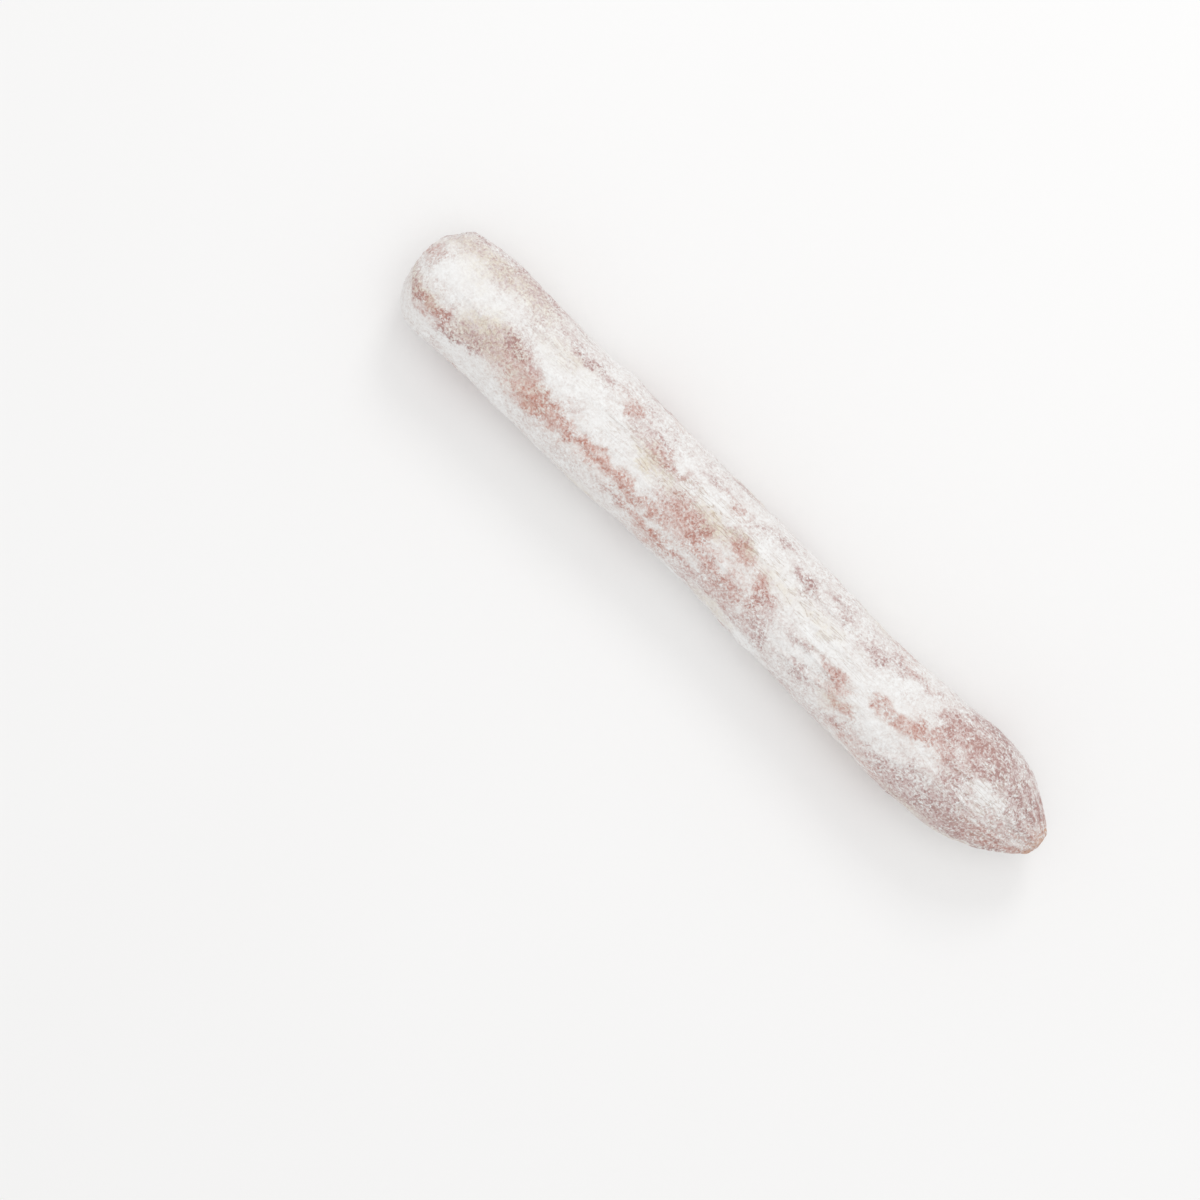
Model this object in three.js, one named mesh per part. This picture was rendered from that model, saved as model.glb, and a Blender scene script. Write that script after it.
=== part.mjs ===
// A dry-cured sausage lying on its side. One end is blunt, with a small puckered closure off its
// centre. The other narrows through gathered pleats to the stub where the casing was tied.
// Millimetres, +X from the blunt end to the tied end, +Z up. The origin is under the middle of the
// sausage, on the surface that it rests on.
import * as THREE from "three";
import { mergeVertices } from "three/addons/utils/BufferGeometryUtils.js";

// Driving dimensions.
const LENGTH = 300;
const BLUNT_DIAMETER = 42.4;
const WAIST_DIAMETER = 39.4;
const SHOULDER_DIAMETER = 42.2;
const WAIST_FROM_BLUNT_END = 168;
const BLUNT_END_DEPTH = 14;
const TAPER_LENGTH = 36;
const STUB_DIAMETER = 12.4;
const STUB_LENGTH = 2;

// The sausage is a little lower than it is wide, and its underside is pressed flat.
const HEIGHT_TO_WIDTH = 0.93;
const PRESSED_FLAT = 1.1;

// Sideways bend of the axis: out towards -Y, and back past the middle towards +Y at the stub.
const BEND_OUT = 2.3;
const BEND_BACK = 2.9;
const BEND_STARTS_AT = 130;
const BEND_TURNS_AT = 240;

// Soft unevenness of the meat: waves along the sausage, each rising and falling in lobes round it.
const LUMPS = [
  { height: 0.4, waveLength: 82, phase: 0.8, lobes: 2, turn: 0.5 },
  { height: 0.25, waveLength: 47, phase: 2.1, lobes: 3, turn: -1.2 },
  { height: 0.2, waveLength: 119, phase: 0.4, lobes: 1, turn: 0 },
];

// The pleats where the casing is gathered, and how far up the taper they reach from the stub.
const PLEATS = 12;
const PLEAT_DEPTH = 0.7;
const PLEAT_REACH = 26;

// The puckered closure stands on the +Y side of the blunt end, in from where the barrel starts.
const CLOSURE_INSET = 5.2;
const CLOSURE_RADIUS = 4.2;
const CLOSURE_HEIGHT = 1.1;

// Behind the closure, the casing is drawn in on the +Y side.
const DRAWN_IN_DEPTH = 2.1;
const DRAWN_IN_AT = 11;
const DRAWN_IN_REACH = 8;

// Shape of the taper: 0.5 is a half ellipse, and more is more pointed.
const TAPER_POWER = 0.95;

// Mesh density. Rings on the taper crowd towards the stub by this power.
const SIDES = 48;
const BLUNT_END_RINGS = 8;
const BODY_RINGS = 44;
const TAPER_RINGS = 14;
const STUB_RINGS = 4;
const TAPER_CROWDING = 1.4;

// A point nearer to the axis than this is on it, and the unevenness grows from there to full size.
const ON_AXIS = 1e-6;
const UNEVEN_FROM_RADIUS = 5;

const STUB_AT = LENGTH - STUB_LENGTH;
const SHOULDER_AT = STUB_AT - TAPER_LENGTH;

function smooth(share) {
  const inside = THREE.MathUtils.clamp(share, 0, 1);
  return inside * inside * (3 - 2 * inside);
}

// Radius of the barrel between the two ends, at a distance from the blunt end.
function barrelRadius(along) {
  const beforeWaist = (along - BLUNT_END_DEPTH) / (WAIST_FROM_BLUNT_END - BLUNT_END_DEPTH);
  const afterWaist = (along - WAIST_FROM_BLUNT_END) / (SHOULDER_AT - WAIST_FROM_BLUNT_END);
  const fromDiameter = afterWaist < 0 ? BLUNT_DIAMETER : WAIST_DIAMETER;
  const toDiameter = afterWaist < 0 ? WAIST_DIAMETER : SHOULDER_DIAMETER;
  const share = smooth(afterWaist < 0 ? beforeWaist : afterWaist);
  return THREE.MathUtils.lerp(fromDiameter, toDiameter, share) / 2;
}

// A quarter ellipse from the axis out to the barrel.
function bluntEndPoints() {
  const points = [];
  for (let ring = 0; ring < BLUNT_END_RINGS; ring++) {
    const turn = (ring / BLUNT_END_RINGS) * (Math.PI / 2);
    const radius = (Math.sin(turn) * BLUNT_DIAMETER) / 2;
    points.push(new THREE.Vector2(radius, (1 - Math.cos(turn)) * BLUNT_END_DEPTH));
  }
  return points;
}

function barrelPoints() {
  const points = [];
  for (let ring = 0; ring < BODY_RINGS; ring++) {
    const along = THREE.MathUtils.lerp(BLUNT_END_DEPTH, SHOULDER_AT, ring / BODY_RINGS);
    points.push(new THREE.Vector2(barrelRadius(along), along));
  }
  return points;
}

function taperPoints() {
  const points = [];
  for (let ring = 0; ring < TAPER_RINGS; ring++) {
    const fromStub = (1 - ring / TAPER_RINGS) ** TAPER_CROWDING;
    const width = (1 - (1 - fromStub) ** 2) ** TAPER_POWER;
    const diameter = THREE.MathUtils.lerp(STUB_DIAMETER, SHOULDER_DIAMETER, width);
    points.push(new THREE.Vector2(diameter / 2, STUB_AT - TAPER_LENGTH * fromStub));
  }
  return points;
}

// The stub is a low dome, which ends on the axis.
function stubPoints() {
  const points = [];
  for (let ring = 0; ring < STUB_RINGS; ring++) {
    const turn = (ring / STUB_RINGS) * (Math.PI / 2);
    const radius = (Math.cos(turn) * STUB_DIAMETER) / 2;
    points.push(new THREE.Vector2(radius, STUB_AT + Math.sin(turn) * STUB_LENGTH));
  }
  points.push(new THREE.Vector2(0, LENGTH));
  return points;
}

// Where the axis runs: sideways from the line between the ends, and above the rest surface.
function axisSideways(along) {
  const out = smooth((along - BEND_STARTS_AT) / (BEND_TURNS_AT - BEND_STARTS_AT));
  const back = smooth((along - BEND_TURNS_AT) / (LENGTH - BEND_TURNS_AT));
  return BEND_BACK * back - BEND_OUT * out;
}

function axisHeight(along) {
  const inBarrel = THREE.MathUtils.clamp(along, BLUNT_END_DEPTH, SHOULDER_AT);
  return barrelRadius(inBarrel) * HEIGHT_TO_WIDTH - PRESSED_FLAT;
}

// Height of the soft lumps at a place on the skin. They fade out along the taper and towards the
// middle of the blunt end.
function lump(along, angle, radius) {
  let height = 0;
  for (const { height: rise, waveLength, phase, lobes, turn } of LUMPS) {
    const wave = Math.sin((2 * Math.PI * along) / waveLength + phase);
    height += rise * wave * Math.cos(lobes * angle + turn);
  }
  const alongTaper = smooth((along - SHOULDER_AT) / TAPER_LENGTH);
  return height * (1 - alongTaper) * smooth((2 * radius) / BLUNT_DIAMETER);
}

// Depth of the pleats, growing from nothing up the taper to full depth before the stub.
function pleat(along, angle, radius) {
  const growth = smooth(1 - (STUB_AT - along) / PLEAT_REACH);
  const room = Math.min(1, (2 * radius) / (STUB_DIAMETER + 2 * PLEAT_DEPTH * PLEATS));
  return PLEAT_DEPTH * growth * room * Math.cos(PLEATS * angle);
}

// How far the side behind the closure is drawn in.
function drawnIn(along, angle) {
  const onSide = Math.max(0, Math.cos(angle)) ** 2;
  return DRAWN_IN_DEPTH * onSide * Math.exp(-(((along - DRAWN_IN_AT) / DRAWN_IN_REACH) ** 2));
}

// How far the puckered closure lifts the skin, from the distance to its middle.
function closure(along, sideways, upwards) {
  const fromAxis = BLUNT_DIAMETER / 2 - CLOSURE_INSET;
  const distance = Math.hypot(along - BLUNT_END_DEPTH / 2, sideways - fromAxis, upwards);
  return CLOSURE_HEIGHT * Math.exp(-((distance / CLOSURE_RADIUS) ** 2));
}

// Moves a lathed point, given in the lathe's axes, to its place on the sausage.
function place(point) {
  const along = point.y;
  const round = Math.hypot(point.x, point.z);
  const angle = Math.atan2(point.x, point.z);
  const uneven = lump(along, angle, round) + pleat(along, angle, round) - drawnIn(along, angle);
  const radius = round < ON_AXIS ? 0 : round + uneven * smooth(round / UNEVEN_FROM_RADIUS);
  const sideways = radius * Math.cos(angle);
  const upwards = radius * Math.sin(angle) * HEIGHT_TO_WIDTH;
  const lift = closure(along, sideways, upwards);
  return new THREE.Vector3(
    along - lift,
    axisSideways(along) + sideways + lift,
    Math.max(0, axisHeight(along) + upwards),
  );
}

function sausageGeometry() {
  const profile = [...bluntEndPoints(), ...barrelPoints(), ...taperPoints(), ...stubPoints()];
  const lathed = new THREE.LatheGeometry(profile, SIDES);
  lathed.deleteAttribute("normal");
  lathed.deleteAttribute("uv");
  const geometry = mergeVertices(lathed);
  const position = geometry.getAttribute("position");
  const point = new THREE.Vector3();
  for (let i = 0; i < position.count; i++) {
    position.setXYZ(i, ...place(point.fromBufferAttribute(position, i)).toArray());
  }
  geometry.computeBoundingBox();
  const middle = geometry.boundingBox.getCenter(new THREE.Vector3());
  geometry.translate(-middle.x, -middle.y, 0);
  geometry.computeVertexNormals();
  return geometry;
}

const skin = new THREE.MeshStandardMaterial({ color: 0xcdb9b2, roughness: 0.85, metalness: 0 });
const sausage = new THREE.Mesh(sausageGeometry(), skin);
sausage.name = "cured_sausage";

const curedSausage = new THREE.Group();
curedSausage.add(sausage);

export default curedSausage;
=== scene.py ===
"""The looks of a dry-cured sausage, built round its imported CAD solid.

The casing is one dense closed mesh laid over the CAD solid. It is wrinkled, gathered into pleats at
the tied end and puckered at the closure on the blunt end. White mould lies over it, worn through to
the red-brown casing in patches. How thick the mould is at each place is kept on the mesh, and the
material breaks its edges up into powdery strokes and specks.
"""
import math

import bpy
import numpy as np
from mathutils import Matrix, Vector, noise
from mathutils.bvhtree import BVHTree


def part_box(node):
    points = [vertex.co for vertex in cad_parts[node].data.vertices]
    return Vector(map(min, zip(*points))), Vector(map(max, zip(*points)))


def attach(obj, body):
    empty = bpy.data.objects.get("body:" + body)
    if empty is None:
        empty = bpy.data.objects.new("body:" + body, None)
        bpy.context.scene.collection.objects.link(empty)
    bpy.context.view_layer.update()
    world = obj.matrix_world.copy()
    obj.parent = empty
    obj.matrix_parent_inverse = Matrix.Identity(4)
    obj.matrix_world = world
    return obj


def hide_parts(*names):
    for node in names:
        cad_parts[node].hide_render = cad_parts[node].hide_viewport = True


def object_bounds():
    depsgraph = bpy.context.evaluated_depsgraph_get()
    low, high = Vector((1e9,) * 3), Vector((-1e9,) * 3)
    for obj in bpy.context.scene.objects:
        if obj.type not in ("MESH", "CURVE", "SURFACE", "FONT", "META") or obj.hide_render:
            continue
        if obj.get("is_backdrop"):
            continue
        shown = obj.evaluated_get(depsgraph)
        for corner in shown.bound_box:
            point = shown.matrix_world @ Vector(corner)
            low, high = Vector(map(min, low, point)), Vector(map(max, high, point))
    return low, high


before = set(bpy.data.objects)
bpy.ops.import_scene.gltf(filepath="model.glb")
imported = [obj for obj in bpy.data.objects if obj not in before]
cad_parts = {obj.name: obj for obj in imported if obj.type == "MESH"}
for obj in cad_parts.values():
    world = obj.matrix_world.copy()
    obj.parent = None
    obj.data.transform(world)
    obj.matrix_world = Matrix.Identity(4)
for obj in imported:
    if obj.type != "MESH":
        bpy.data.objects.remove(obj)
cad_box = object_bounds()

# Lengths in this script are in millimetres, and become metres where a Blender object is made.
MM = 0.001

# The casing's mesh, and where the rays that lay it on the CAD solid start to fan out. The solid's
# facets are smoothed away over this many rings and columns, and over fewer on the stub.
COLUMNS = 192
RINGS = 512
BLUNT_FAN_INSET = 20
TIED_FAN_INSET = 40
STUB_REACH = 10
STUB_EXTRA_RINGS = 0.9
FACET_BLUR_RINGS = 5
FACET_BLUR_COLUMNS = 2.4
STUB_BLUR_RINGS = 1.2

# How far each band of the UV map is drawn in towards its middle, as a share of it.
BAND_MARGIN = 0.008

# Relief of the casing: heights and depths, sizes of the features, and how far they are drawn out.
LUMP_HEIGHT, LUMP_SIZE = 0.4, 15
GRANULE_HEIGHT, GRANULE_SIZE = 0.27, 4.2
WRINKLE_HEIGHT, WRINKLE_SIZE, WRINKLE_STRETCH = 0.2, 2.3, 3.2
MOULD_THICKNESS = 0.3

# Creases along the barrel, and the size of the areas that have them. Their width is in the noise's
# own units.
CREASE_DEPTH, CREASE_SIZE, CREASE_STRETCH = 0.65, 7.5, 5
CREASE_WIDTH, CREASED_AREA_SIZE, CREASES_FROM_ENDS = 0.11, 24, 20

# Pleats on the taper, with finer ones between them. Wander is how far their waves stray, in radians.
PLEATS, PLEAT_HEIGHT, PLEAT_REACH = 15, 0.45, 34
PLEAT_WANDER, PLEAT_WANDER_SIZE = 2.6, 9
FINE_PLEAT_RATIO, FINE_PLEAT_SHARE = 2.3, 0.45
FINE_PLEAT_WANDER, FINE_PLEAT_WANDER_SIZE = 3, 6
PLEATS_LOWER_ON_STUB = 0.6

# The puckered closure: its place, and a level direction that runs roughly along the skin there.
CLOSURE_ALONG, CLOSURE_SIDE_ANGLE = 5, 90
CLOSURE_LEVEL = (0.8, 0.6)
CLOSURE_NUB_HEIGHT, CLOSURE_NUB_RADIUS = 1.3, 3.2

# Folds that spread out from the closure, with finer ones between them.
CLOSURE_FOLDS, CLOSURE_FOLD_HEIGHT = 13, 0.5
FOLDS_FROM, CLOSURE_FOLD_REACH = 6, 28
FOLD_WANDER, FOLD_WANDER_SIZE = 2.2, 8
FINE_FOLD_RATIO, FINE_FOLD_SHARE, FINE_FOLD_TURN = 2.1, 0.5, 1

# How gently the underside meets the floor.
CONTACT_SOFTNESS = 0.25

# Thickness of the mould, from 0 on bare casing to about 1: its usual value, what patches take away
# and add, and how much it varies broadly and finely.
USUAL_COVER, MOST_COVER = 0.88, 1.1
WORN_DEPTH, THICK_RISE = 0.6, 0.2
BROAD_VARIATION, BROAD_SIZE = 0.1, 17
FINE_VARIATION, FINE_SIZE = 0.11, 3

# How a patch fades from its middle, and how far its outline strays: millimetres along, degrees round.
PATCH_FADE, PATCH_EDGE = 0.7, 1.5
STRAY_ALONG, STRAY_ALONG_SIZE = 3.4, 6
STRAY_ROUND, STRAY_ROUND_SIZE = 9, 5

# The patches on the upper side are placed after the photo. First, where the mould is worn
# through to the casing, as (distance from the blunt end, degrees from the top towards +Y, half
# length, half width, how bare).
WORN_PATCHES = [
    # Blunt end.
    (1, 40, 3, 4, 0.4),
    (3, 21, 4, 4, 0.7),
    (7, 8, 4, 4, 0.5),
    (11, 22, 4, 4, 0.4),
    (12, 52, 6, 4, 0.4),
    (1, -20, 3, 5, 0.35),
    (27, 42, 7, 5, 0.35),
    (44, 50, 6, 5, 0.3),
    # Band low on the -Y side, from the blunt end to the middle.
    (8, -32, 5, 4, 0.6),
    (13, -38, 5, 3, 0.8),
    (19, -35, 4, 2.6, 0.95),
    (25, -40, 5, 4, 0.75),
    (33, -36, 6, 4, 0.65),
    (38, -24, 6, 5, 0.5),
    (44, -12, 5, 5, 0.42),
    (50, -5, 6, 3.4, 0.65),
    (56, -12, 5, 3, 0.65),
    (52, -24, 6, 6, 0.48),
    (62, -27, 5, 4, 0.7),
    (60, -40, 5, 4, 0.7),
    (66, -34, 6, 6, 1),
    (72, -29, 6, 3, 0.9),
    (78, -33, 7, 2.8, 0.9),
    (86, -31, 6, 2.5, 1),
    (96, -29, 7, 2.5, 1),
    (104, -31, 6, 2.4, 0.9),
    (114, -34, 8, 2, 0.9),
    (76, -8, 4, 2, 0.4),
    (84, -20, 4, 1.6, 0.4),
    # Specks on the +Y side.
    (62, 50, 5, 2, 0.5),
    (70, 44, 6, 1.6, 0.65),
    (78, 40, 4, 2, 0.5),
    (83, 47, 4, 2, 0.55),
    (91, 39, 4, 2.8, 0.95),
    (98, 54, 6, 3, 0.35),
    (100, 28, 6, 4, 0.45),
    (108, 33, 6, 3, 0.4),
    (112, 20, 7, 2.4, 0.75),
    (121, 24, 5, 1.8, 0.5),
    (128, 42, 5, 1.8, 0.45),
    (139, 44, 5, 1.8, 0.5),
    (142, 37, 4, 1.8, 0.65),
    (152, 44, 5, 2, 0.35),
    (160, 55, 5, 2.4, 0.55),
    (151, 17, 7, 2, 0.35),
    # Blotches along the middle.
    (122, -10, 5, 4, 0.5),
    (127, -20, 6, 5, 0.6),
    (130, -6, 6, 3, 0.6),
    (135, -25, 5, 6, 0.6),
    (138, -10, 4, 4, 0.9),
    (141, -22, 4, 4, 0.85),
    (147, -30, 3, 4, 0.8),
    (154, 4, 4, 2.6, 0.95),
    (153, -4, 3, 4, 0.5),
    (158, -30, 4, 6, 0.7),
    (154, -42, 7, 3, 0.65),
    (166, -2, 4, 3, 0.9),
    (170, -11, 3, 3, 0.75),
    (171, -28, 6, 5, 0.6),
    (175, -44, 6, 3, 0.6),
    (112, -52, 8, 2.2, 0.85),
    (124, -58, 8, 2.4, 0.9),
    (140, -54, 9, 2, 0.7),
    (160, -58, 12, 2.4, 0.7),
    (180, -56, 8, 3, 0.4),
    (187, -18, 5, 1.8, 0.5),
    # Towards the tied end.
    (176, 40, 5, 2.4, 0.7),
    (180, 34, 4, 2, 0.6),
    (166, 58, 5, 2, 0.4),
    (190, 50, 5, 2, 0.5),
    (196, 42, 4, 2, 0.5),
    (190, -12, 5, 1.4, 0.7),
    (200, -14, 5, 1.6, 0.7),
    (207, -14, 5, 2.6, 0.95),
    (206, -28, 5, 3, 0.5),
    (215, -36, 5, 2.4, 0.8),
    (196, -44, 8, 3, 0.5),
    (212, 34, 4, 2.4, 0.7),
    (219, 42, 6, 3, 0.7),
    (230, 52, 8, 2.4, 0.6),
    (246, 48, 6, 3, 0.4),
    (225, -2, 4, 2.2, 0.95),
    (232, -5, 4, 1.8, 0.8),
    (238, 0, 4, 3, 0.95),
    (241, 8, 3, 2, 0.8),
    (246, 15, 4, 3, 0.9),
    (247, 30, 5, 6, 0.95),
    (254, 8, 3, 3.4, 0.85),
    (252, 40, 6, 4, 0.85),
    (259, 34, 5, 3.6, 0.95),
    (258, -4, 5, 4, 0.55),
    (263, 20, 5, 4, 0.8),
    (268, 42, 7, 5, 0.64),
    (275, 30, 7, 6, 0.59),
    (284, 40, 7, 6, 0.51),
    (286, 12, 6, 4, 0.42),
    (250, -26, 8, 4, 0.35),
    (240, -48, 12, 2.6, 0.7),
    (262, -46, 8, 4, 0.6),
    (274, -38, 8, 6, 0.5),
    (284, -26, 7, 5, 0.5),
    (264, -24, 5, 6, 0.42),
    (284, -8, 7, 3, 0.42),
    (280, -50, 12, 5, 0.51),
    (288, 24, 8, 5, 0.51),
    (293, 0, 5, 4, 0.55),
    (294, -50, 5, 5, 0.55),
    (290, 60, 8, 6, 0.51),
    (228, -64, 14, 4, 0.55),
    (252, -66, 14, 4, 0.7),
    (272, -60, 10, 5, 0.59),
    (286, -64, 10, 8, 0.51),
    (262, 62, 10, 5, 0.42),
    (280, 68, 10, 6, 0.42),
    (26, 58, 9, 3, 0.25),
]

# Where the mould is thick, in the same form: how much it adds.
THICK_PATCHES = [
    (8, -8, 5, 4, 0.5),
    (19, 6, 10, 7, 0.8),
    (16, 28, 6, 4, 0.5),
    (34, 16, 7, 5, 0.6),
    (34, -56, 12, 3.5, 0.8),
    (60, 6, 9, 4, 0.6),
    (72, 12, 12, 7, 0.8),
    (74, 30, 5, 3, 0.8),
    (92, 2, 9, 6, 0.7),
    (104, -12, 12, 5, 0.6),
    (90, -18, 8, 3, 0.5),
    (120, 34, 6, 5, 0.7),
    (136, 28, 9, 4, 0.7),
    (146, 40, 4, 3, 0.5),
    (156, -18, 4, 4, 0.5),
    (164, 30, 9, 4, 0.6),
    (180, 12, 9, 4, 0.5),
    (190, 2, 10, 5, 0.7),
    (204, 14, 10, 5, 0.5),
    (206, 0, 10, 3, 0.5),
    (222, 18, 12, 8, 0.8),
    (196, -28, 8, 5, 0.5),
    (216, -20, 6, 3, 0.8),
    (232, -20, 7, 3.4, 0.7),
    (248, -14, 7, 4, 0.7),
    (236, -36, 14, 3, 0.4),
    (271, -1, 8, 5, 0.8),
    (282, 2, 6, 3, 0.4),
]

# Beige and ochre stains in the mould.
OCHRE_PATCHES = [
    (6, -34, 5, 5, 0.7),
    (14, -30, 4, 3, 0.8),
    (30, -26, 6, 5, 0.5),
    (38, -12, 8, 6, 0.9),
    (48, -20, 7, 6, 0.6),
    (22, 36, 8, 7, 0.4),
    (12, 50, 10, 5, 0.6),
    (34, 50, 16, 5, 0.7),
    (60, 24, 9, 4, 0.35),
    (68, 34, 6, 3, 0.5),
    (106, 12, 6, 3, 0.9),
    (110, 2, 5, 3, 1),
    (118, 6, 5, 2, 0.6),
    (137, 8, 8, 3, 0.9),
    (142, 3, 6, 3, 0.8),
    (152, 14, 7, 3, 0.8),
    (170, 12, 8, 3, 0.5),
    (190, 16, 8, 3, 0.5),
    (62, -30, 8, 5, 0.4),
    (212, -36, 6, 4, 0.5),
]

# Where the casing shows salmon red, and the mould has fewer specks. Elsewhere it is a greyer rose.
SALMON_PATCHES = [
    (16, -36, 8, 5, 0.6),
    (64, -34, 16, 8, 1),
    (96, -32, 26, 6, 1),
    (128, -34, 14, 14, 0.7),
    (140, -14, 14, 8, 0.5),
    (158, -30, 14, 12, 0.6),
    (122, -58, 14, 6, 0.8),
    (160, 2, 14, 5, 0.6),
    (214, -36, 8, 5, 0.9),
    (212, -14, 14, 5, 0.7),
    (236, 0, 16, 6, 0.8),
    (252, 34, 14, 9, 0.3),
    (91, 39, 6, 4, 0.7),
    (112, 20, 10, 4, 0.5),
    (142, 36, 8, 5, 0.5),
    (4, 20, 8, 6, 0.5),
    (286, -40, 12, 8, 0.5),
    (298, 0, 6, 30, 0.5),
]

# Where long hairline creases run along the sausage.
CREASED_PATCHES = [
    (60, 22, 14, 4, 0.5),
    (112, 10, 26, 5, 0.8),
    (150, 16, 34, 5, 1),
    (190, 14, 20, 7, 0.7),
    (215, -10, 18, 6, 0.4),
    (276, 10, 20, 22, 0.7),
    (276, -30, 20, 12, 0.7),
]

# The sides and underside have patches of the same kinds, scattered from a fixed seed: how many, the
# ranges of their strengths, how far from the top they start, and the ranges of their shapes.
SCATTER_SEED = 11
SCATTERED_WORN, WORN_STRENGTHS = 70, (0.3, 0.85)
SCATTERED_THICK, THICK_STRENGTHS = 30, (0.4, 0.8)
SCATTERED_OCHRE, OCHRE_STRENGTHS = 16, (0.4, 0.8)
SCATTERED_SALMON, SALMON_STRENGTHS = 16, (0.4, 0.9)
SCATTERED_CREASED, CREASED_STRENGTHS = 16, (0.4, 0.9)
SCATTER_FROM_TOP = 72
SCATTER_HALF_LENGTHS = (4, 14)
SCATTER_WIDTH_SHARES = (0.3, 0.7)

# The mould is thinner near the tied end, and thinner still on the stub, mostly at its tip.
TIED_END_THINNING, TIED_END_FROM, TIED_END_GROWS = 0.07, 230, 30
STUB_THINNING, STUB_TIP_POWER = 0.4, 3

# Streaks in the mould on the taper, where the casing is gathered.
STREAK_SIZE, STREAK_STRETCH, STREAK_STRENGTH = 1.7, 9, 0.3
STREAKS_FROM, STREAKS_GROW = 255, 30

# How far apart in the noise the fields of neighbouring seeds are read.
SEED_SPACING = 17.3


def smooth(share):
    """Eases from 0 to 1 as the share does."""
    inside = np.clip(share, 0, 1)
    return inside * inside * (3 - 2 * inside)


def field(points, size, seed, stretch=1, octaves=1):
    """Noise of about -1 to 1 at the points, with features of that size, drawn out along X."""
    scaled = points / (np.array([stretch, 1, 1]) * size) + seed * SEED_SPACING
    if octaves == 1:
        return np.array([noise.noise(p) for p in scaled.tolist()])
    return np.array([noise.fractal(p, 1.0, 2.0, octaves) for p in scaled.tolist()])


def blurred(values, sigma, axis):
    """The grid blurred along one axis. Columns run all the way round, and rings stop at the poles."""
    reach = math.ceil(3 * sigma)
    weights = np.exp(-0.5 * (np.arange(-reach, reach + 1) / sigma) ** 2)
    pad = [(0, 0), (0, 0)]
    pad[axis] = (reach, reach)
    padded = np.pad(values, pad, mode="wrap" if axis == 1 else "edge")
    return np.apply_along_axis(np.convolve, axis, padded, weights / weights.sum(), "valid")


# ---------------------------------------------------------------- the casing's base grid

class CadSkin:
    """Lays rings of points on a CAD solid that lies along X."""

    def __init__(self, node):
        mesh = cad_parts[node].data
        corners = np.array([v.co for v in mesh.vertices]) / MM
        self.tree = BVHTree.FromPolygons(corners.tolist(), [p.vertices for p in mesh.polygons])
        low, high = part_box(node)
        self.low, self.high = low / MM, high / MM
        self.fan_starts = (self.low.x + BLUNT_FAN_INSET, self.high.x - TIED_FAN_INSET)

    def centre(self, x):
        """The middle of the solid's section at that X."""
        middle = Vector((x, 0, (self.low.z + self.high.z) / 2))
        for axis in (Vector((0, 1, 0)), Vector((0, 0, 1))):
            ahead = self.tree.ray_cast(middle, axis)[0]
            behind = self.tree.ray_cast(middle, -axis)[0]
            middle = (ahead + behind) / 2
        return middle

    def station(self, share):
        """Where a ring's rays start and how far they tilt towards +X. Shares 0 to 1 are the blunt
        end's fan, 1 to 2 the barrel and 2 to 3 the tied end's fan."""
        x = np.interp(share, (1, 2), self.fan_starts)
        tilt = np.interp(share, (0, 1, 2, 3), (-90, 0, 0, 90))
        return self.centre(x), math.radians(tilt)

    def hit(self, origin, tilt, angle):
        """Distance to the skin. The angle is from the top towards +Y."""
        out = math.cos(tilt)
        ray = Vector((math.sin(tilt), out * math.sin(angle), out * math.cos(angle)))
        return self.tree.ray_cast(origin, ray)[3], ray

    def even_shares(self):
        """The rings' shares, evenly spaced over the skin, and closer together on the stub."""
        dense = np.linspace(0, 3, 4 * RINGS)
        lengths = np.zeros(len(dense))
        for angle in (0, math.pi / 2, -math.pi / 2):
            line = []
            for share in dense:
                origin, tilt = self.station(share)
                distance, ray = self.hit(origin, tilt, angle)
                line.append(origin + ray * distance)
            line = np.array(line)
            steps = np.linalg.norm(np.diff(line, axis=0), axis=1)
            on_stub = smooth((line[1:, 0] - self.high.x + STUB_REACH) / STUB_REACH)
            lengths[1:] += steps * (1 + STUB_EXTRA_RINGS * on_stub)
        travelled = np.cumsum(lengths)
        wanted = np.linspace(0, travelled[-1], RINGS + 2)[1:-1]
        return np.interp(wanted, travelled, dense)

    def grid(self):
        """Points of every ring, and the two poles, with the CAD solid's facets smoothed away."""
        angles = np.arange(COLUMNS) * (2 * math.pi / COLUMNS)
        origins, rays, distances = [], [], []
        for share in self.even_shares():
            origin, tilt = self.station(share)
            hits = [self.hit(origin, tilt, angle) for angle in angles]
            origins.append(origin)
            distances.append([distance for distance, ray in hits])
            rays.append([ray for distance, ray in hits])
        origins, rays, distances = np.array(origins), np.array(rays), np.array(distances)
        along = (origins[:, None, 0] + rays[:, :, 0] * distances) - self.low.x
        crisp = blurred(distances, STUB_BLUR_RINGS, 0)
        soft = blurred(blurred(distances, FACET_BLUR_RINGS, 0), FACET_BLUR_COLUMNS, 1)
        length = self.high.x - self.low.x
        on_stub = smooth((along - length + STUB_REACH) / STUB_REACH)
        distances = soft + (crisp - soft) * on_stub
        points = origins[:, None, :] + rays * distances[:, :, None]
        poles = [points[0].mean(0), points[-1].mean(0)]
        return points, np.array(poles), np.degrees(angles)


def grid_normals(points):
    along = np.gradient(points, axis=0)
    around = np.roll(points, -1, axis=1) - np.roll(points, 1, axis=1)
    normals = np.cross(around, along)
    return normals / np.linalg.norm(normals, axis=2, keepdims=True)


# ---------------------------------------------------------------- mould

def scattered(rng, length, count, strengths):
    """Patches at random places on the sides and underside."""
    for _ in range(count):
        angle = rng.uniform(SCATTER_FROM_TOP, 360 - SCATTER_FROM_TOP)
        half_length = rng.uniform(*SCATTER_HALF_LENGTHS)
        half_width = half_length * rng.uniform(*SCATTER_WIDTH_SHARES)
        yield rng.uniform(0, length), angle, half_length, half_width, rng.uniform(*strengths)


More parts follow.
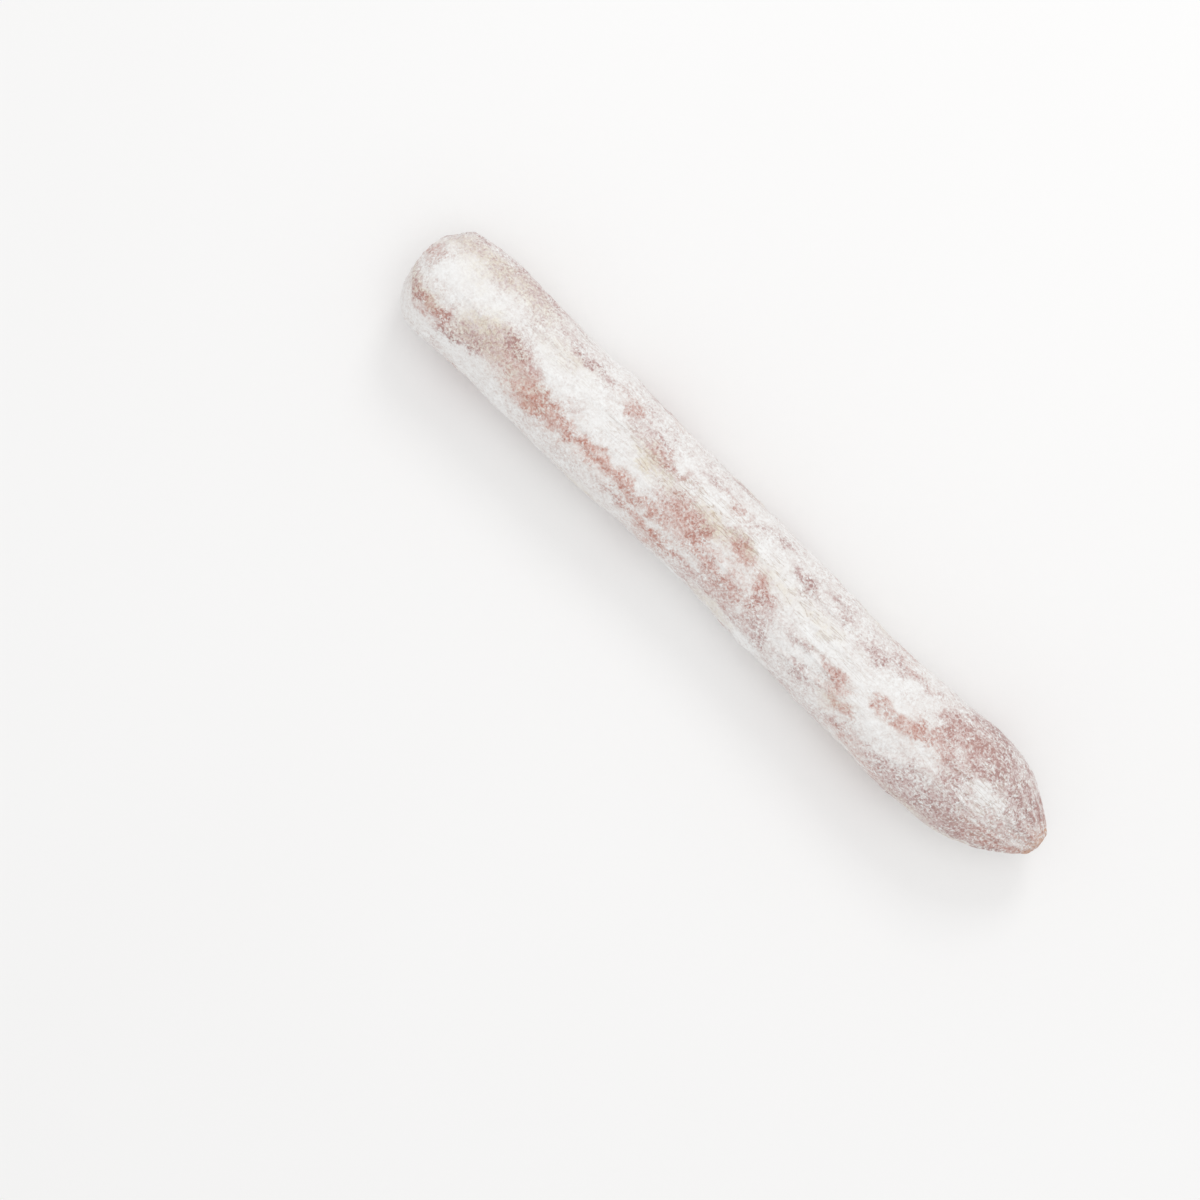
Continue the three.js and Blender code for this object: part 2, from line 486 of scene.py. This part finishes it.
def patches(along, degrees, listed, radius):
    """How strongly the patches show at each point, from 0 to 1."""
    left = np.ones_like(along)
    for at, angle, half_length, half_width, strength in listed:
        turn = (degrees - angle + 180) % 360 - 180
        across = np.radians(turn) * radius
        reach = ((along - at) / half_length) ** 2 + (across / half_width) ** 2
        left *= 1 - strength * np.exp(-(reach**PATCH_EDGE) * PATCH_FADE)
    return 1 - left


def gathered_streaks(along, degrees, radius):
    """Fine streaks, about -1 to 1, that run down the taper and close up towards the stub."""
    turn = np.radians(degrees)
    unrolled = np.column_stack([along, radius * np.cos(turn), radius * np.sin(turn)])
    gathered = smooth((along - STREAKS_FROM) / STREAKS_GROW)
    return gathered * field(unrolled, STREAK_SIZE, 13, STREAK_STRETCH, octaves=2)


def mould_maps(points, along, degrees, radius, length):
    """How thick the mould is, where 0 is bare casing and 1 is thick, and where it is stained ochre,
    where the casing is salmon red, and where it is creased."""
    rng = np.random.default_rng(SCATTER_SEED)
    worn = WORN_PATCHES + list(scattered(rng, length, SCATTERED_WORN, WORN_STRENGTHS))
    thick = THICK_PATCHES + list(scattered(rng, length, SCATTERED_THICK, THICK_STRENGTHS))
    ochre = OCHRE_PATCHES + list(scattered(rng, length, SCATTERED_OCHRE, OCHRE_STRENGTHS))
    salmon = SALMON_PATCHES + list(scattered(rng, length, SCATTERED_SALMON, SALMON_STRENGTHS))
    creased = CREASED_PATCHES + list(scattered(rng, length, SCATTERED_CREASED, CREASED_STRENGTHS))
    along = along + STRAY_ALONG * field(points, STRAY_ALONG_SIZE, 1, octaves=4)
    degrees = degrees + STRAY_ROUND * field(points, STRAY_ROUND_SIZE, 2, octaves=4)
    cover = USUAL_COVER - WORN_DEPTH * patches(along, degrees, worn, radius)
    cover += THICK_RISE * patches(along, degrees, thick, radius)
    cover += BROAD_VARIATION * field(points, BROAD_SIZE, 3, octaves=2)
    cover += FINE_VARIATION * field(points, FINE_SIZE, 4, octaves=3)
    cover -= TIED_END_THINNING * smooth((along - TIED_END_FROM) / TIED_END_GROWS)
    cover += STREAK_STRENGTH * gathered_streaks(along, degrees, radius)
    return {
        "mould": np.clip(cover, 0, MOST_COVER),
        "ochre": patches(along, degrees, ochre, radius),
        "salmon": patches(along, degrees, salmon, radius),
        "creased": patches(along, degrees, creased, radius),
    }


# ---------------------------------------------------------------- relief

def creases(points, along, length):
    """Long thin valleys on the barrel, where a stretched noise passes through zero."""
    line = field(points, CREASE_SIZE, 5, CREASE_STRETCH)
    on_barrel = smooth(along / CREASES_FROM_ENDS) * smooth((length - along) / CREASES_FROM_ENDS)
    strength = on_barrel * smooth(0.5 + field(points, CREASED_AREA_SIZE, 6))
    return -CREASE_DEPTH * strength * np.exp(-((line / CREASE_WIDTH) ** 2))


def pleats(points, along, degrees, length):
    """Folds that run up the taper from the stub, uneven in width and depth."""
    growth = smooth(1 - (length - along) / PLEAT_REACH)
    turn = np.radians(degrees) * PLEATS + PLEAT_WANDER * field(points, PLEAT_WANDER_SIZE, 7)
    stray = FINE_PLEAT_WANDER * field(points, FINE_PLEAT_WANDER_SIZE, 8)
    fine = FINE_PLEAT_SHARE * np.cos(FINE_PLEAT_RATIO * turn + stray)
    low_on_stub = 1 - PLEATS_LOWER_ON_STUB * smooth(1 - (length - along) / STUB_REACH)
    return PLEAT_HEIGHT * growth * low_on_stub * (np.cos(turn) + fine)


def closure_folds(points, place):
    """Folds that spread out from the puckered closure, and the small nub in their middle."""
    away = points - place
    distance = np.linalg.norm(away, axis=1)
    round_it = np.arctan2(away[:, 2], away[:, :2] @ CLOSURE_LEVEL)
    turn = CLOSURE_FOLDS * round_it + FOLD_WANDER * field(points, FOLD_WANDER_SIZE, 9)
    fade = smooth(distance / FOLDS_FROM) * (1 - smooth(distance / CLOSURE_FOLD_REACH))
    fine_fade = FINE_FOLD_SHARE * smooth(distance / FOLDS_FROM - 1)
    fine = fine_fade * np.cos(FINE_FOLD_RATIO * turn + FINE_FOLD_TURN)
    folds = CLOSURE_FOLD_HEIGHT * fade * (np.cos(turn) + fine)
    nub = CLOSURE_NUB_HEIGHT * np.exp(-((distance / CLOSURE_NUB_RADIUS) ** 2))
    return folds + nub


def relief(points, along, degrees, cover, closure, length):
    height = LUMP_HEIGHT * field(points, LUMP_SIZE, 10)
    height += GRANULE_HEIGHT * field(points, GRANULE_SIZE, 11, octaves=2)
    height += WRINKLE_HEIGHT * field(points, WRINKLE_SIZE, 12, WRINKLE_STRETCH, octaves=2)
    height += creases(points, along, length)
    height += pleats(points, along, degrees, length)
    height += closure_folds(points, closure)
    height += MOULD_THICKNESS * smooth(cover)
    return height


# ---------------------------------------------------------------- the casing

def grid_faces(rings, columns):
    """Quads between the rings and triangles to the poles, which are the last two vertices. Also each
    face corner's ring and column, counted on past the seam, which runs along the underside."""
    ring, column = np.meshgrid(np.arange(rings - 1), np.arange(columns), indexing="ij")
    ring, column = ring.ravel(), column.ravel() + columns // 2
    quad_rings = np.stack([ring, ring + 1, ring + 1, ring], axis=1)
    quad_columns = np.stack([column, column, column + 1, column + 1], axis=1)
    faces = (quad_rings * columns + quad_columns % columns).tolist()
    places = [np.stack([quad_rings, quad_columns - columns // 2], axis=2).reshape(-1, 2)]
    first, last, final = rings * columns, rings * columns + 1, (rings - 1) * columns
    for j in range(columns):
        here, right = (j + columns // 2) % columns, (j + 1 + columns // 2) % columns
        faces.append([first, here, right])
        faces.append([last, final + right, final + here])
        places.append([[-1, j + 0.5], [0, j], [0, j + 1]])
        places.append([[rings, j + 0.5], [rings - 1, j + 1], [rings - 1, j]])
    return faces, np.vstack(places)


def unwrap(mesh, places, rings, columns):
    """Unrolls the mesh into two bands, one above the other, which split at the middle ring."""
    per_band = rings // 2 + 1
    corners = [polygon.loop_total for polygon in mesh.polygons]
    lowest = np.minimum.reduceat(places[:, 0], np.cumsum([0] + corners[:-1]))
    band = np.repeat(lowest + 1 >= per_band, corners)
    across = (places[:, 0] + 1 - band * per_band) / per_band
    up = (band + places[:, 1] / columns) / 2
    spots = np.stack([across, up], axis=1)
    inset = np.stack([np.full(len(band), 0.5), (band + 0.5) / 2], axis=1)
    spots = inset + (spots - inset) * (1 - BAND_MARGIN)
    mesh.uv_layers.new(name="OFBake").uv.foreach_set("vector", spots.astype("f").ravel())


def make_casing():
    skin = CadSkin("cured_sausage")
    grid, poles, angles = skin.grid()
    normals = grid_normals(grid).reshape(-1, 3)
    points = np.vstack([grid.reshape(-1, 3), poles])
    normals = np.vstack([normals, [[-1, 0, 0], [1, 0, 0]]])
    degrees = np.append(np.tile(angles, RINGS), [0, 0])
    along = points[:, 0] - skin.low.x
    length = skin.high.x - skin.low.x
    radius = (skin.high.z - skin.low.z) / 2
    ring = np.abs(grid[:, 0, 0] - skin.low.x - CLOSURE_ALONG).argmin()
    closure = grid[ring, round(CLOSURE_SIDE_ANGLE / 360 * COLUMNS)]
    maps = mould_maps(points, along, degrees, radius, length)
    maps["stub"] = smooth((along - length + STUB_REACH) / STUB_REACH) ** STUB_TIP_POWER
    maps["mould"] -= STUB_THINNING * maps["stub"]
    height = relief(points, along, degrees, maps["mould"], closure, length)
    points = points + normals * height[:, None]
    points[:, 2] = (points[:, 2] + np.hypot(points[:, 2], CONTACT_SOFTNESS)) / 2
    mesh = bpy.data.meshes.new("casing")
    faces, places = grid_faces(RINGS, COLUMNS)
    mesh.from_pydata((points * MM).tolist(), [], faces)
    mesh.shade_smooth()
    unwrap(mesh, places, RINGS, COLUMNS)
    for name, values in maps.items():
        mesh.attributes.new(name, "FLOAT", "POINT").data.foreach_set("value", values.astype("f"))
    casing = bpy.data.objects.new("casing", mesh)
    bpy.context.scene.collection.objects.link(casing)
    return casing


# ---------------------------------------------------------------- materials

class Nodes:
    """Short ways to add shader nodes to a material."""

    def __init__(self, name):
        self.material = bpy.data.materials.new(name)
        self.material.use_nodes = True
        self.tree = self.material.node_tree
        self.shader = self.tree.nodes["Principled BSDF"]
        self.place = self.tree.nodes.new("ShaderNodeTexCoord").outputs["Object"]

    def link(self, value, socket):
        if hasattr(value, "node"):
            self.tree.links.new(value, socket)
        else:
            socket.default_value = value

    def attribute(self, name):
        node = self.tree.nodes.new("ShaderNodeAttribute")
        node.attribute_name = name
        return node.outputs["Fac"]

    def noise(self, size, detail=3, roughness=0.5, distortion=0, stretch=1):
        """Noise from 0 to 1 with features of that size in millimetres, drawn out along X."""
        mapping = self.tree.nodes.new("ShaderNodeMapping")
        mapping.inputs["Scale"].default_value = (1 / stretch, 1, 1)
        self.tree.links.new(self.place, mapping.inputs["Vector"])
        node = self.tree.nodes.new("ShaderNodeTexNoise")
        self.tree.links.new(mapping.outputs[0], node.inputs["Vector"])
        node.inputs["Scale"].default_value = 1 / (size * MM)
        node.inputs["Detail"].default_value = detail
        node.inputs["Roughness"].default_value = roughness
        node.inputs["Distortion"].default_value = distortion
        return node.outputs[0]

    def math(self, operation, a, b):
        node = self.tree.nodes.new("ShaderNodeMath")
        node.operation = operation
        self.link(a, node.inputs[0])
        self.link(b, node.inputs[1])
        return node.outputs[0]

    def sum(self, *terms):
        """The sum of value times weight, for each (value, weight)."""
        total = 0
        for value, weight in terms:
            total = self.math("ADD", self.math("MULTIPLY", value, weight), total)
        return total

    def step(self, value, low, high):
        """A smooth change from 0 at low to 1 at high, which may be the smaller of the two."""
        node = self.tree.nodes.new("ShaderNodeMapRange")
        node.interpolation_type = "SMOOTHSTEP"
        self.link(value, node.inputs["Value"])
        self.link(low, node.inputs["From Min"])
        self.link(high, node.inputs["From Max"])
        return node.outputs["Result"]

    def lines(self, pattern, width):
        """1 where a noise passes through its middle, falling to 0 at half the width from it."""
        offset = self.math("ABSOLUTE", self.math("SUBTRACT", pattern, 0.5), 0)
        return self.step(offset, width / 2, 0)

    def ramp(self, value, stops):
        """A colour that follows the value through stops of (value, red, green, blue)."""
        node = self.tree.nodes.new("ShaderNodeValToRGB")
        marks = node.color_ramp.elements
        marks[0].position, marks[1].position = stops[0][0], stops[-1][0]
        marks[0].color, marks[1].color = (*stops[0][1:], 1), (*stops[-1][1:], 1)
        for share, *colour in stops[1:-1]:
            marks.new(share).color = (*colour, 1)
        self.link(value, node.inputs["Fac"])
        return node.outputs["Color"]

    def mix(self, share, a, b, blend="MIX"):
        node = self.tree.nodes.new("ShaderNodeMix")
        node.data_type = "RGBA"
        node.blend_type = blend
        self.link(share, node.inputs[0])
        self.link(a, node.inputs[6])
        self.link(b, node.inputs[7])
        return node.outputs[2]

    def bump(self, height, distance, normal=None):
        node = self.tree.nodes.new("ShaderNodeBump")
        node.inputs["Distance"].default_value = distance * MM
        self.link(height, node.inputs["Height"])
        if normal is not None:
            self.link(normal, node.inputs["Normal"])
        return node.outputs["Normal"]


# Texture of the mould: sizes in millimetres, widths in the noise's own units, and how much each of
# them adds to the specks, which are about 0 on average.
STROKE_SIZE, STROKE_WEIGHT = 1.3, 2.1
CLUMP_SIZE, CLUMP_WEIGHT = 3.4, 1.5
GRAIN_SIZE, GRAIN_WEIGHT = 0.9, 2.5
THREAD_SIZE, THREAD_WIDTH, THREAD_WEIGHT = 2.1, 0.12, 0.15
SPECKS_MIDDLE = (STROKE_WEIGHT + CLUMP_WEIGHT + GRAIN_WEIGHT) / 2

# The specks stand out where the mould is thin, in flecked areas, and less where the casing is salmon.
SPECKS_ON_BARE = 1.26
FLECKED_AREA_SIZE, SPECKS_UNFLECKED, SPECKS_FLECKED_EXTRA = 8, 0.7, 0.4
SPECKS_LESS_ON_SALMON = 0.35

# Hairline creases: how much they thin the mould, and how brown they are.
HAIRLINE_SIZE, HAIRLINE_STRETCH, HAIRLINE_WIDTH = 1.6, 7, 0.1
HAIRLINE_THINNING, HAIRLINE_BROWN = 0.35, 0.4

# Where these changes start and end: the first four follow noises, and the others the mould's thickness.
FLECKED_BETWEEN = (0.38, 0.6)
HAIRLINES_BETWEEN = (0.35, 0.55)
STAINED_BETWEEN = (0.36, 0.6)
AMBER_BETWEEN = (0.28, 0.6)
BARE_STUB_BETWEEN = (0.95, 0.1)
COVERED_BETWEEN = (0.25, 0.7)

# Bumps in millimetres: of the mould's thickness, and of the skin's own fine wrinkles.
POWDER_BUMP = 0.2
SKIN_BUMP, SKIN_WRINKLE_SIZE, SKIN_WRINKLE_STRETCH = 0.3, 1.2, 2.5

# Roughness of the bare casing, and what full mould adds.
CASING_ROUGHNESS, MOULD_ROUGHER = 0.55, 0.4

# The skin's colour as the mould thickens: (share of the thickest, red, green, blue).
THICKEST = 1.18
ROSE_BLOOM = [
    (0.0, 0.435, 0.265, 0.247),
    (0.17, 0.515, 0.363, 0.347),
    (0.34, 0.60, 0.48, 0.462),
    (0.51, 0.68, 0.602, 0.582),
    (0.65, 0.745, 0.695, 0.672),
    (0.78, 0.80, 0.775, 0.757),
    (1.0, 0.885, 0.883, 0.875),
]
SALMON_BLOOM = [
    (0.0, 0.495, 0.23, 0.18),
    (0.17, 0.57, 0.335, 0.285),
    (0.34, 0.64, 0.455, 0.408),
    (0.51, 0.705, 0.585, 0.547),
    (0.65, 0.755, 0.693, 0.66),
    (0.78, 0.805, 0.775, 0.755),
    (1.0, 0.885, 0.883, 0.875),
]
OCHRE_TINT = (0.89, 0.82, 0.70, 1)
CREASE_BROWN = (0.50, 0.42, 0.33, 1)
AMBER = (0.64, 0.41, 0.28, 1)


def specks(n, mould, salmon, strokes, clumps):
    """How far the strokes, clumps, grains and threads raise or lower the mould's thickness."""
    grain = n.noise(GRAIN_SIZE, detail=1, distortion=0.6)
    threads = n.lines(n.noise(THREAD_SIZE, detail=2, distortion=1.2), THREAD_WIDTH)
    height = n.sum(
        (strokes, STROKE_WEIGHT),
        (clumps, CLUMP_WEIGHT),
        (grain, GRAIN_WEIGHT),
        (threads, THREAD_WEIGHT),
        (1, -SPECKS_MIDDLE),
    )
    flecked = n.step(n.noise(FLECKED_AREA_SIZE, detail=2, distortion=0.5), *FLECKED_BETWEEN)
    by_fleck = n.sum((flecked, SPECKS_FLECKED_EXTRA), (1, SPECKS_UNFLECKED))
    by_salmon = n.sum((salmon, -SPECKS_LESS_ON_SALMON), (1, 1))
    by_mould = n.sum((mould, -1), (1, SPECKS_ON_BARE))
    contrast = n.math("MULTIPLY", by_mould, n.math("MULTIPLY", by_fleck, by_salmon))
    return n.math("MULTIPLY", height, contrast)


def hairline_creases(n, clumps):
    """Broken hairlines along the sausage, in its creased areas."""
    waves = n.noise(HAIRLINE_SIZE, detail=2, distortion=0.5, stretch=HAIRLINE_STRETCH)
    broken = n.math("MULTIPLY", n.attribute("creased"), n.step(clumps, *HAIRLINES_BETWEEN))
    return n.math("MULTIPLY", n.lines(waves, HAIRLINE_WIDTH), broken)


def skin_colour(n, thickness, salmon, hair, strokes, clumps):
    """Casing showing through the mould, with ochre stains, brown hairlines and an amber stub."""
    shade = n.math("MULTIPLY", thickness, 1 / THICKEST)
    colour = n.mix(salmon, n.ramp(shade, ROSE_BLOOM), n.ramp(shade, SALMON_BLOOM))
    mottle = n.step(n.sum((clumps, 0.5), (strokes, 0.5)), *STAINED_BETWEEN)
    stain = n.math("MULTIPLY", n.attribute("ochre"), mottle)
    colour = n.mix(stain, colour, OCHRE_TINT, "MULTIPLY")
    colour = n.mix(n.math("MULTIPLY", hair, HAIRLINE_BROWN), colour, CREASE_BROWN)
    bare, patchy = n.step(thickness, *BARE_STUB_BETWEEN), n.step(clumps, *AMBER_BETWEEN)
    amber = n.math("MULTIPLY", n.attribute("stub"), n.math("MULTIPLY", bare, patchy))
    return n.mix(amber, colour, AMBER)


def bloomed_casing():
    """Red-brown casing under white mould, which is powdery where it is thick and specked where thin."""
    n = Nodes("bloomed_casing")
    mould, salmon = n.attribute("mould"), n.attribute("salmon")
    strokes = n.noise(STROKE_SIZE, detail=1, roughness=0.6, distortion=1.0)
    clumps = n.noise(CLUMP_SIZE, detail=3, roughness=0.65, distortion=0.7)
    hair = hairline_creases(n, clumps)
    specked = specks(n, mould, salmon, strokes, clumps)
    thickness = n.sum((specked, 1), (mould, 1), (hair, -HAIRLINE_THINNING))
    colour = skin_colour(n, thickness, salmon, hair, strokes, clumps)
    n.link(colour, n.shader.inputs["Base Color"])

    covered = n.step(thickness, *COVERED_BETWEEN)
    roughness = n.sum((covered, MOULD_ROUGHER), (1, CASING_ROUGHNESS))
    n.link(roughness, n.shader.inputs["Roughness"])
    powder = n.bump(thickness, POWDER_BUMP)
    wrinkles = n.noise(SKIN_WRINKLE_SIZE, detail=2, stretch=SKIN_WRINKLE_STRETCH)
    n.link(n.bump(wrinkles, SKIN_BUMP, powder), n.shader.inputs["Normal"])
    n.shader.inputs["Specular IOR Level"].default_value = 0.35
    n.shader.inputs["Sheen Weight"].default_value = 0.15
    n.shader.inputs["Sheen Roughness"].default_value = 0.6
    return n.material


FLOOR_MOTTLE_SIZE = 180
FLOOR_DARKER = (0.9, 0.895, 0.89, 1)
FLOOR_PALER = (0.92, 0.918, 0.915, 1)


def pale_floor():
    n = Nodes("pale_floor")
    mottle = n.noise(FLOOR_MOTTLE_SIZE, detail=2)
    n.link(n.mix(mottle, FLOOR_DARKER, FLOOR_PALER), n.shader.inputs["Base Color"])
    n.shader.inputs["Roughness"].default_value = 0.9
    n.shader.inputs["Specular IOR Level"].default_value = 0.1
    return n.material


# ---------------------------------------------------------------- stage

# The camera looks straight down, rolled so that the sausage runs from upper left to lower right.
VIEW_WIDTH = 422
LENS = 85
SENSOR = 36
ROLL = 43.85
VIEW_CENTRE_FROM_SAUSAGE = (-20.7, -43.2)

FLOOR_SIZE = 8000
WORLD_BRIGHTNESS = 0.81

# Square soft lights: place, side and watts.
LIGHTS = {
    "key": ((-350, 900, 900), 400, 2.5),
    "top": ((200, 100, 1500), 1200, 3.8),
}


def make_camera():
    low, high = cad_box
    middle = (low + high) / 2
    camera = bpy.data.cameras.new("camera")
    camera.lens = LENS
    camera.sensor_width = SENSOR
    above = VIEW_WIDTH * LENS / SENSOR
    eye = bpy.data.objects.new("camera", camera)
    offset = Vector((*VIEW_CENTRE_FROM_SAUSAGE, above)) * MM
    eye.location = middle + offset
    eye.rotation_euler = (0, 0, math.radians(ROLL))
    bpy.context.scene.collection.objects.link(eye)
    bpy.context.scene.camera = eye


def make_floor():
    mesh = bpy.data.meshes.new("floor")
    half = FLOOR_SIZE / 2 * MM
    corners = [(-half, -half, 0), (half, -half, 0), (half, half, 0), (-half, half, 0)]
    mesh.from_pydata(corners, [], [(0, 1, 2, 3)])
    mesh.materials.append(pale_floor())
    floor = bpy.data.objects.new("floor", mesh)
    bpy.context.scene.collection.objects.link(floor)
    floor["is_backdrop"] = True


def area_light(name, place, size, power):
    """A square soft light, turned to the sausage."""
    light = bpy.data.lights.new(name, "AREA")
    light.shape = "SQUARE"
    light.size = size * MM
    light.energy = power
    lamp = bpy.data.objects.new(name, light)
    lamp.location = Vector(place) * MM
    lamp.rotation_euler = lamp.location.to_track_quat("Z", "Y").to_euler()
    bpy.context.scene.collection.objects.link(lamp)


def make_lights():
    for name, (place, size, power) in LIGHTS.items():
        area_light(name, place, size, power)
    world = bpy.data.worlds.new("studio")
    world.use_nodes = True
    sky = world.node_tree.nodes["Background"]
    sky.inputs["Color"].default_value = (1, 1, 1, 1)
    sky.inputs["Strength"].default_value = WORLD_BRIGHTNESS
    bpy.context.scene.world = world
    bpy.context.scene.view_settings.view_transform = "Standard"


make_camera()
make_floor()
make_lights()
casing = make_casing()
casing.data.materials.append(bloomed_casing())
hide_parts("cured_sausage")
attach(casing, "root")

boxes = {"cad": cad_box, "visual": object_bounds()}
{name: [list(corner) for corner in box] for name, box in boxes.items()}
